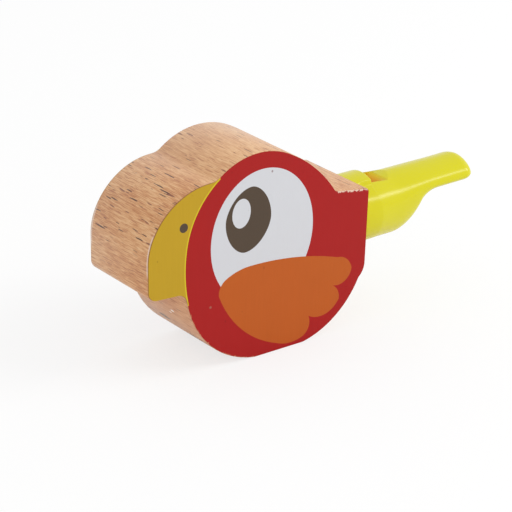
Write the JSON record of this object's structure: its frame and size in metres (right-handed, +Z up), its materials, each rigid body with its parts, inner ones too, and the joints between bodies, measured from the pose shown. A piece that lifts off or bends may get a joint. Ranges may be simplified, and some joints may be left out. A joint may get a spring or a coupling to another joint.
{
  "type": "bird call whistle",
  "caption": "Wooden toy bird with painted faces and a sliding plastic whistle for a tail; the pitch bends as the tube moves in and out.",
  "frame": {"origin": "middle of the flat that the bird stands on, halfway through the block's thickness", "axes": "+X from the beak to the mouthpiece along the tube, +Y from the shown face to the far one, +Z up"},
  "size_m": [0.104, 0.0242, 0.0521],
  "materials": {
    "beech": "bare, sanded",
    "yellow_plastic": "glossy",
    "seal_rubber": "matte",
    "dowel": "bare",
    "red_paint": "satin",
    "white_paint": "satin",
    "brown_paint": "satin",
    "orange_paint": "satin",
    "mustard_paint": "satin"
  },
  "bodies": {
    "bird": {"wood_block": "beech", "stop_pin": "dowel", "red_paint": "red_paint", "white_paint": "white_paint", "pupil_paint": "brown_paint", "glint_paint": "white_paint", "wing_paint": "orange_paint", "beak_paint": "mustard_paint", "nostril_paint": "brown_paint"},
    "whistle": {"whistle_tube": "yellow_plastic", "mouthpiece": "yellow_plastic", "airway_block": "yellow_plastic", "seal_ring": "seal_rubber"}
  },
  "joints": [
    {"name": "pitch_slide", "type": "slide", "parent": "bird", "child": "whistle", "axis": [1, 0, 0], "range_m": [-0.006, 0.009]}
  ]
}
